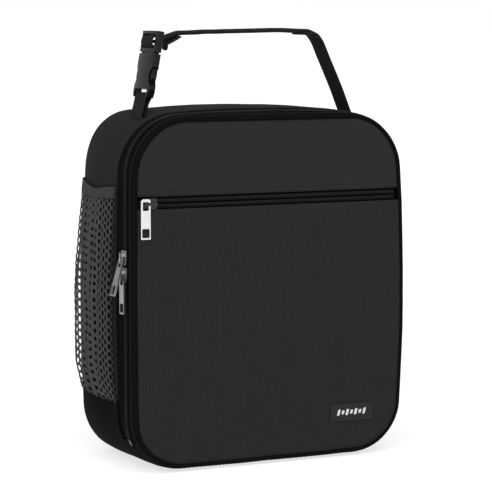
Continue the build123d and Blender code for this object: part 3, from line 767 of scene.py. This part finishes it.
def gusset():
    """The side and top cloth, with its front edge folded under and topstitched."""
    y = np.linspace(GUSSET_FRONT + 1.6, GUSSET_BACK + 1, 44)
    out = 0.2 - 0.3 * bell(y, GUSSET_FRONT + 3.0, 0.8)
    out -= 1.6 * np.clip((y - GUSSET_BACK + 2.0) / 3.0, 0, 1) ** 2
    fold = [(4.0, -0.9), (0.8, -0.85), (0.1, -0.65), (-0.05, -0.3), (0.3, 0.1), (0.9, 0.2)]
    fold = [(GUSSET_FRONT + y_in, y_out) for y_in, y_out in fold]
    line = np.concatenate([fold, np.stack([y, out], axis=1)])
    return piece("gusset", [swept_part(band_profile(line, 0.4), UPPER_SPAN)])


finish_piece(gusset(), "bag", "gusset_canvas", nodes=["side_gusset"])
stitch_line = shell_line(GUSSET_FRONT + 3.0, -0.15, UPPER_SPAN)
finish_piece(piece("gusset_stitch", stitch_parts(*stitch_line)), "bag", "gusset_canvas", "thread")


def base():
    """The base cloth: round the bottom and up both sides, with its nose under the zipper's ends."""
    y = np.linspace(GUSSET_FRONT - 0.2, GUSSET_BACK + 1, 40)
    out = 0.25 - 1.6 * np.clip((y - GUSSET_BACK + 2.0) / 3.0, 0, 1) ** 2
    line = np.stack([y, out], axis=1)
    wrap = swept_part(band_profile(line, 0.4), (LOWER_SPAN[0] - 1.0, LOWER_SPAN[1] + 1.0))
    nose = [
        (ZIP_Y + 1.5, -1.3), (ZIP_Y + 0.45, -1.1), (ZIP_Y + 0.5, -0.6), (ZIP_Y + 1.2, -0.3),
        (ZIP_Y + 4, -0.15), (GUSSET_FRONT - 3, -0.05), (GUSSET_FRONT + 1, -0.1), (GUSSET_FRONT + 3, -0.3),
    ]
    return piece("base", [wrap, swept_part(band_profile(nose, 0.4), NOSE_SPAN)])


finish_piece(base(), "bag", "base_cloth", nodes=["base_panel"])


def back_y(x, z):
    """Depth of the back cloth: tucked in at its piping and softly crowned."""
    d = np.clip(inside(x, z) - PANEL_INSET, 0, None)
    rise = 1.6 * (1 - np.exp(-d / 4)) + 0.6 * (1 - np.exp(-d / 30))
    return BACK - 2.2 + rise + 0.3 * ripple(x, 0 * x, z, 40, 11.0) * np.clip(d / 12, 0, 1)


back_part = panel_part(PANEL_INSET, back_y, PANEL_INSET, HEIGHT - PANEL_INSET)
back_cloth = piece("back_cloth", [back_part], outward=False)
finish_piece(thicken(run_true(back_cloth), 0.6, offset=1.0), "bag", "gusset_canvas", nodes=["back_panel"])


# ------------------------------------------------------------------ foam, liners and their bindings
CORE_INSET = 2.4
LID_FOAM_Y = node_box("lid_foam")[0][1]
LID_LINER_Y = node_box("lid_liner")[0][1]
BACKING_Y = node_box("pocket_backing")[0][1]
WALL_FRONT = node_box("wall_foam")[0][1]
BACK_FOAM_Y = node_box("back_foam")[0][1]
FOAM_INNER = CLOTH + FOAM


def core_sheet(name, y, inset, thick, body, slot, node):
    """A layer inside the lid or against the back, from y backwards, following the stuffed outline."""
    part = panel_part(inset, lambda x, z: y - forward_bow(z, y), inset, HEIGHT - inset, 70, 60)
    obj = run_true(piece(name, [part], outward=False))
    return finish_piece(thicken(obj, thick), body, slot, nodes=[node])


core_sheet("pocket_backing_cloth", BACKING_Y, CORE_INSET, 0.5, "lid", "lining_cloth", "pocket_backing")
core_sheet("lid_pad", LID_FOAM_Y, CORE_INSET, 4.9, "lid", "foam", "lid_foam")
core_sheet("lid_foil", LID_LINER_Y, CORE_INSET, 0.4, "lid", "foil_liner", "lid_liner")
core_sheet("back_pad", BACK_FOAM_Y, FOAM_INNER, 4.9, "bag", "foam", "back_foam")


def ring_piece(name, y_range, out_range, body, slot, nodes, bulge=0.0):
    """A band round the whole outline between two depths and two insets, its front edge rounded."""
    count = max(3, int((y_range[1] - y_range[0]) / 2.5))
    low, high = out_range
    y = np.linspace(*y_range, count)
    nose = [(y_range[0] - bulge, high - (high - low) * k) for k in (0.25, 0.5, 0.75)]
    profile = [(v, high) for v in y[::-1]] + nose + [(v, low) for v in y]
    obj = piece(name, [swept_part(profile, step=3.0)])
    return finish_piece(obj, body, slot, nodes=nodes)


ring_piece("wall_pad", (WALL_FRONT, GUSSET_BACK), (-FOAM_INNER, -1.3), "bag", "foam", ["wall_foam"])
WALL_FOIL_OUT = (-FOAM_INNER - 0.6, -FOAM_INNER - 0.1)
ring_piece("wall_foil", (WALL_FRONT, BACK_FOAM_Y), WALL_FOIL_OUT, "bag", "foil_liner", [])
core_sheet("back_foil", BACK_FOAM_Y - 0.6, FOAM_INNER + 0.3, 0.4, "bag", "foil_liner", "body_liner")
BODY_EDGE_Y = [corner[1] for corner in node_box("body_binding")]
LID_EDGE_Y = [corner[1] for corner in node_box("lid_binding")]
ring_piece("body_edge", BODY_EDGE_Y, (-7.4, -1.6), "bag", "lining_cloth", ["body_binding"], bulge=0.3)
ring_piece("lid_edge", LID_EDGE_Y, (-6.2, -2.3), "lid", "lining_cloth", ["lid_binding"])


def hinge_cloth():
    """The strip of cloth under the bottom that joins lid and body."""
    low, high = node_box("hinge_strip")
    y = np.linspace(low[1], high[1], 12)
    line = np.stack([y, np.full(12, 0.15)], axis=1)
    part = swept_part(band_profile(line, 0.6), (low[0], high[0]))
    obj = finish_piece(piece("hinge_cloth", [part]), None, "base_cloth", nodes=["hinge_strip"])
    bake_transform(obj)


hinge_cloth()


# ------------------------------------------------------------------ front pocket zipper
def flat_tape(name, node):
    low, high = node_box(node)
    x = np.linspace(low[0] + 1.0, high[0] - 1.0, 120)
    z = np.linspace(low[2], high[2], 9)
    grid_x, grid_z = np.meshgrid(x, z, indexing="ij")
    grid_y = front_y(grid_x, grid_z) + 2.1
    points = np.stack([grid_x, grid_y, grid_z], axis=2)
    obj = piece(name, [grid_data(points, x, z)], outward=False)
    thicken(obj, 0.4)
    return finish_piece(obj, "lid", "zip_tape", nodes=[node])


flat_tape("pocket_tape_upper", "pocket_zip_tape_upper")
flat_tape("pocket_tape_lower", "pocket_zip_tape_lower")


def pocket_coil(name, node):
    low, high = node_box(node)
    x = np.arange(low[0] + 2.0, high[0] - 2.0, 0.5)
    z = np.full(len(x), (low[2] + high[2]) / 2)
    centre = np.stack([x, front_y(x, z) + 1.35, z], axis=1)
    forward = np.tile([0.0, 0.0, 1.0], (len(x), 1))
    outward = np.tile([0.0, -1.0, 0.0], (len(x), 1))
    part = coil_part(centre, forward, outward, 1.5, ((high[2] - low[2]) / 2 - 0.25, 0.5), 0.36)
    return finish_piece(piece(name, [part]), "lid", "zip_coil", nodes=[node])


pocket_coil("pocket_coil_upper", "pocket_zip_coil_upper")
pocket_coil("pocket_coil_lower", "pocket_zip_coil_lower")


# ------------------------------------------------------------------ label
LABEL_LOW, LABEL_HIGH = node_box("label_patch")
LABEL_X, _, LABEL_Z = (LABEL_LOW + LABEL_HIGH) / 2
LABEL_WIDE, _, LABEL_TALL = LABEL_HIGH - LABEL_LOW
LABEL_CORNER = 2.4


def rounded_tile(centre, wide, tall, corner, profile, lean=0.0):
    """A moulded tile on the front cloth, from (inset, height) pairs from its outer foot to its middle."""
    turn = np.linspace(0, TAU, 48, endpoint=False) + TAU / 96
    rings = []
    for inset, height in profile:
        radius = max(corner - inset, 0.05)
        x = np.sign(np.cos(turn)) * (wide / 2 - inset - radius) + radius * np.cos(turn)
        z = np.sign(np.sin(turn)) * (tall / 2 - inset - radius) + radius * np.sin(turn)
        x = centre[0] + x + lean * z
        z = centre[1] + z
        rings.append(np.stack([x, front_y(x, z) - height, z], axis=1))
    points = np.array(rings)
    return grid_data(points, lengths_along(points[:, 0]), turn * 4, wrap_v=True, caps=True)


# Inset and height of the rubber, from its foot over the raised rim to its sunk middle.
RUBBER_RIM = [
    (0, -0.8), (0, 1.0), (0.2, 1.4), (0.6, 1.6), (1.3, 1.6), (1.7, 1.4), (1.9, 1.0), (2.3, 0.9), (4.0, 0.9),
]
tile = rounded_tile((LABEL_X, LABEL_Z), LABEL_WIDE, LABEL_TALL, LABEL_CORNER, RUBBER_RIM)
finish_piece(piece("label_tile", [tile]), "lid", "label_rubber", nodes=["label_patch"])
BAR_PROFILE = [(0, 0.5), (0, 1.2), (0.15, 1.35), (0.4, 1.4)]
bars = []
for index in range(7):
    tall_bar = 4.6 if index % 2 == 0 else 3.0
    place = (LABEL_X + (index - 3) * 3.6, LABEL_Z)
    bars.append(rounded_tile(place, 2.0, tall_bar, 0.7, BAR_PROFILE, lean=0.25))
finish_piece(piece("label_bars", bars), "lid", "label_rubber", "label_bar")


# ------------------------------------------------------------------ mesh pocket
MESH_FRONT, MESH_BACK = MESH_BOX[0][1], MESH_BOX[1][1]
MESH_LOW, MESH_HIGH = MESH_BOX[0][2], MESH_BOX[1][2]
CELL_WIDE, CELL_TALL = 4.8, 5.7  # from one column of holes to the next, and up a column
HOLE_WIDE, HOLE_TALL = 2.2, 2.25  # half a hole's width and height
CELL_TOP = 1.2  # half the length of the level run at a cell's top and foot
CELL_POINTS = 12
STRAND_STEPS = ((0.0, 0.35), (0.55, 0.2), (1.0, -0.1))  # share of the way to the hole, and height there
# Depth along the side, and how far the net stands off it.
NET_LINE = smooth_path(
    [
        (MESH_FRONT, -0.5), (MESH_FRONT, 3.0), (-17, 4.4), (0, 4.2), (16, 4.8), (30, 5.6), (41, 6.2),
        (47, 5.4), (MESH_BACK, 2.6), (MESH_BACK, -0.5),
    ],
    step=0.5,
    spread=2.5,
)
NET_LENGTH = lengths_along(NET_LINE)
NET_SPAN = NET_LENGTH[-1]
NET_TALL = MESH_HIGH - MESH_LOW


def net_place(along, z, out=0.0):
    """Points of the loose pocket sheet on the bag's left side."""
    y = np.interp(along, NET_LENGTH, NET_LINE[:, 0])
    stand = np.interp(along, NET_LENGTH, NET_LINE[:, 1])
    rise = (z - MESH_LOW) / NET_TALL
    swell = np.clip(rise / 0.14, 0, 1) ** 0.6 * (1 - 0.8 * np.clip((rise - 0.45) / 0.6, 0, 1.0) ** 1.3)
    lean = along - 6 * (1 - rise) ** 2
    folds = 1.5 * np.sin(lean / 2.3 + 2.2 * rise) * bell(along, 42, 20)
    folds = folds + 1.1 * bell(lean, 47 - 20 * (1 - rise), 4.0) * np.clip(1.1 - rise, 0, 1)
    folds = folds + 0.7 * np.sin(along / 1.9) * np.exp(-((z - MESH_LOW) / 9))
    soft = 0.5 * ripple(along, 0 * along, z, 17, 21.0)
    inner = np.clip(np.minimum(along, NET_SPAN - along) / 8, 0, 1)
    off = stand * swell + (folds + soft) * inner * np.clip((MESH_HIGH + 9 - z) / 40, 0.2, 1) + 0.5 + out
    side_z = np.clip(z, BOTTOM_RADIUS, None)
    body = form(np.full_like(z, -HALF), side_z, np.full_like(z, -1.0), np.zeros_like(z), y)
    return np.stack([-HALF - body - off, y, z], axis=-1)


def cell_outline():
    """A six-sided cell, with a point at each corner and in the middle of each side."""
    reach, half = CELL_WIDE - CELL_TOP, CELL_TALL / 2
    right = [(CELL_TOP, half), (reach, 0), (CELL_TOP, -half)]
    ring = np.array(right + [(-x, -z) for x, z in right])
    return np.concatenate([np.linspace(ring[k], ring[(k + 1) % 6], 3)[:-1] for k in range(6)])


def net():
    """A knitted net: staggered six-sided holes, their strands rounded, on the pocket's loose sheet."""
    outer = cell_outline()
    turn = np.arctan2(outer[:, 1], outer[:, 0])
    hole = np.stack([HOLE_WIDE * np.cos(turn), HOLE_TALL * np.sin(turn)], axis=1)
    flats, heights, faces = [], [], []
    for column in range(int(NET_SPAN / CELL_WIDE) - 1):
        for row in range(int(NET_TALL / CELL_TALL) + 1):
            centre = (column + 1.0) * CELL_WIDE, MESH_LOW + (row + (column % 2) / 2) * CELL_TALL
            gathered = 1 - 0.42 * bell(centre[0], 40, 17) * min(1, centre[1] / 60)
            first = len(flats)
            for share, height in STRAND_STEPS:
                loop = outer * (1 - share) + hole * gathered * share + centre
                flats += [tuple(point) for point in loop]
                heights += [height] * CELL_POINTS
            for start in (first, first + CELL_POINTS):
                for k in range(CELL_POINTS):
                    a, b = start + k, start + (k + 1) % CELL_POINTS
                    faces.append((a, b, b + CELL_POINTS, a + CELL_POINTS))
    flats = np.array(flats)
    low, high = MESH_LOW - 1.0, MESH_HIGH + 1.0
    z = np.clip(flats[:, 1], low, high)
    along = flats[:, 0] + 0.9 * ripple(flats[:, 0], 0 * z, z, 12, 31.0)
    z = np.clip(z + 1.1 * ripple(flats[:, 0], 0 * z, z, 12, 47.0), low, high)
    points = net_place(np.clip(along, 0, NET_SPAN), z, np.array(heights))
    corners = [tuple(flats[index]) for face in faces for index in face]
    obj = piece("net", [(points, faces, corners)], outward=False)
    bm = bmesh.new()
    bm.from_mesh(obj.data)
    bmesh.ops.remove_doubles(bm, verts=bm.verts, dist=0.12 * MM)
    bmesh.ops.recalc_face_normals(bm, faces=bm.faces)
    bm.to_mesh(obj.data)
    bm.free()
    set_smooth(obj.data)
    return thicken(obj, 0.6, offset=0.0)


finish_piece(net(), "bag", "mesh_net", nodes=["mesh_pocket"])


def elastic():
    """The elastic along the pocket's mouth: a flat folded band, slack towards the middle."""
    along = np.linspace(0, NET_SPAN, 120)
    low, high = MESH_HIGH - 0.6, ELASTIC_BOX[1][2]
    profile = [
        (0.0, 0.45), (0.04, 0.75), (0.2, 0.8), (0.5, 0.85), (0.8, 0.8), (0.96, 0.75), (1.0, 0.4),
        (1.0, -0.4), (0.96, -0.75), (0.5, -0.8), (0.04, -0.75), (0.0, -0.45),
    ]
    depth = np.interp(along, NET_LENGTH, NET_LINE[:, 0])
    sag = 2.8 * bell(depth, 12, 17) - 2.6 * np.clip((depth - 30) / 20, 0, 1) ** 1.5
    rings = []
    for share, out in profile:
        z = low + share * (high - low) - sag * (0.4 + 0.6 * share)
        rings.append(net_place(along, z, out + 0.2))
    points = np.array(rings).transpose(1, 0, 2)
    v = np.array([share * 8 + (16 if k > 6 else 0) for k, (share, _) in enumerate(profile)])
    return piece("elastic", [grid_data(points, along, v, wrap_v=True, caps=True)])


finish_piece(elastic(), "bag", "mesh_elastic", nodes=["mesh_binding"])


# ------------------------------------------------------------------ handle
GRIP_WIDE = 19.5
PLY = 1.3
LEG_FOOT = (85.6, SWING_AXIS_Z)
CORNER = (63.0, 315.2)
BUCKLE_LEAN = math.radians(10.5)
BUCKLE_FOOT = (-77.6, 268.0)
BAR_HIGH = 41.2  # along the buckle, from its foot to the insert's bar
BAR_LOW = 1.3


def on_buckle(aside, along):
    """A point (x, z) of the buckle's own frame: across its thickness and along its length."""
    x = BUCKLE_FOOT[0] + aside * math.cos(BUCKLE_LEAN) + along * math.sin(BUCKLE_LEAN)
    z = BUCKLE_FOOT[1] - aside * math.sin(BUCKLE_LEAN) + along * math.cos(BUCKLE_LEAN)
    return x, z


def right_leg():
    """The leg, from the seam up to the corner, where it lies under the folded grip."""
    slope = (LEG_FOOT[0] - CORNER[0]) / (CORNER[1] - LEG_FOOT[1])
    foot = (LEG_FOOT[0] + slope * 17, LEG_FOOT[1] - 17)
    above = (LEG_FOOT[0] - slope * 20 + 0.8, LEG_FOOT[1] + 20)
    path = smooth_path([foot, above, (66.5, 307.5), (62.0, 313.6), (50, 314.2)])
    obj = piece("right_leg", [strap_part(path, GRIP_WIDE, 1.7, wave=0.3)])
    finish_piece(obj, None, "webbing", nodes=["handle_strap", "right_foot"])
    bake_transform(obj)


def grip():
    """The grip: webbing folded in two over the leg's end, opened round the insert's bar and sewn back."""
    round_bar = [(6.5, 4.2), (1.5, 4.5), (-3.4, 3.8), (-4.6, 0.5), (-4.2, -3.2), (-1.0, -4.6), (3.5, -4.0)]
    wrap = [on_buckle(aside, BAR_HIGH + above) for aside, above in round_bar]
    line = [(68.2, 305.5), (65.0, 313.2), (57, 316.9), (30, 317.6), (0, 317.0), (-28, 316.4), (-50, 315.6)]
    path = smooth_path(line + wrap + [(-57.5, 308.5), (-51.0, 311.9)])
    x = path[:, 0]
    along = lengths_along(path)
    turned = along > along[np.argmin(x)]
    amount = np.where(turned, 0, np.clip((x + 71) / 18, 0, 1))
    fold = math.pi * (3 * amount**2 - 2 * amount**3)
    obj = piece("grip", [strap_part(path, GRIP_WIDE, PLY, fold, wave=0.35, seed=4.0)])
    finish_piece(obj, None, "webbing", nodes=["strap_end"])
    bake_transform(obj)


def anchor():
    """The loop under the buckle: up from the seam, round the socket's bar and back down."""
    top = on_buckle(0, BAR_LOW)
    path = smooth_path(
        [
            (-83.6, 247.5), (-82.6, 256), (-80.6, 263.5),
            (top[0] - 2.2, top[1] - 1.2), (top[0] - 1.5, top[1] + 2.0),
            (top[0] + 1.6, top[1] + 2.0), (top[0] + 2.4, top[1] - 1.4),
            (-77.6, 263.5), (-79.3, 256), (-80.3, 247.5),
        ],
        spread=1.8,
    )
    obj = piece("anchor", [strap_part(path, GRIP_WIDE, PLY)])
    finish_piece(obj, None, "webbing", nodes=["socket_loop", "left_foot"])
    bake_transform(obj)


right_leg()
grip()
anchor()


# ------------------------------------------------------------------ camera, floor and light
def look(obj, place, aim):
    obj.location = Vector(place) * MM
    direction = Vector(aim) * MM - obj.location
    obj.rotation_euler = direction.to_track_quat("-Z", "Y").to_euler()


VIEW_AZIMUTH = math.radians(-26.7)
VIEW_ELEVATION = math.radians(5.7)
VIEW_DISTANCE = 1625.7
VIEW_TARGET = Vector((-20.8, -54.0, 161.5))
SKY_LIGHT = 0.62  # strength of the sky as a light; the camera sees it at 1
FLOOR_HALF = 60000
FLOOR_GLOW = 0.7  # keeps the pale floor as bright as the sky behind it


def add_camera():
    data = bpy.data.cameras.new("camera")
    data.lens = 164.6
    data.sensor_width = 36
    data.clip_start, data.clip_end = 0.05, 60
    camera = link("camera", data)
    level = math.cos(VIEW_ELEVATION)
    aside, towards = math.sin(VIEW_AZIMUTH) * level, -math.cos(VIEW_AZIMUTH) * level
    place = VIEW_TARGET + VIEW_DISTANCE * Vector((aside, towards, math.sin(VIEW_ELEVATION)))
    look(camera, place, VIEW_TARGET)
    bpy.context.scene.camera = camera
    bpy.context.scene.view_settings.view_transform = "Standard"


def add_softbox():
    data = bpy.data.lights.new("softbox", "SUN")
    data.energy = 2.7
    data.angle = math.radians(60)
    look(link("softbox", data), (-640, -1270, 1350), (0, 0, 0))


def add_sky():
    world = bpy.data.worlds.new("studio")
    bpy.context.scene.world = world
    world.use_nodes = True
    nodes, links = world.node_tree.nodes, world.node_tree.links
    ray = nodes.new("ShaderNodeLightPath")
    strength = nodes.new("ShaderNodeMapRange")
    strength.inputs["To Min"].default_value = SKY_LIGHT
    strength.inputs["To Max"].default_value = 1.0
    links.new(ray.outputs["Is Camera Ray"], strength.inputs["Value"])
    links.new(strength.outputs[0], nodes["Background"].inputs["Strength"])
    nodes["Background"].inputs["Color"].default_value = (1, 1, 1, 1)


def add_floor():
    edge = np.linspace(-FLOOR_HALF, FLOOR_HALF, 9)
    grid_x, grid_y = np.meshgrid(edge, edge, indexing="ij")
    points = np.stack([grid_x, grid_y, np.full_like(grid_x, -0.05)], axis=2)
    floor = piece("floor", [grid_data(points, edge, edge)], outward=False)
    paper = surfaced("floor_paper", (0.35, 0.35, 0.35), 0.9, grain=3.0, bump=0.01, mottle=0.004, specular=0.0)
    shader = paper.node_tree.nodes["Principled BSDF"]
    shader.inputs["Emission Color"].default_value = (1, 1, 1, 1)
    shader.inputs["Emission Strength"].default_value = FLOOR_GLOW
    floor.data.materials.append(paper)


add_camera()
add_softbox()
add_sky()
add_floor()

# ------------------------------------------------------------------ CAD parts that show
SHOWN_NODE_MATERIALS = {
    "upper_slider": "slider_metal", "lower_slider": "slider_metal", "pocket_slider": "slider_enamel",
    "zip_stops": "slider_metal", "upper_pull": "zip_pull_metal", "lower_pull": "zip_pull_metal",
    "pocket_pull": "pull_metal", "buckle_socket": "buckle_plastic", "buckle_insert": "buckle_plastic",
    "prong_front": "buckle_plastic", "prong_rear": "buckle_plastic",
}
for node, material in SHOWN_NODE_MATERIALS.items():
    for material_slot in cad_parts[node].material_slots:
        material_slot.link = "OBJECT"
        material_slot.material = MATERIALS[material]
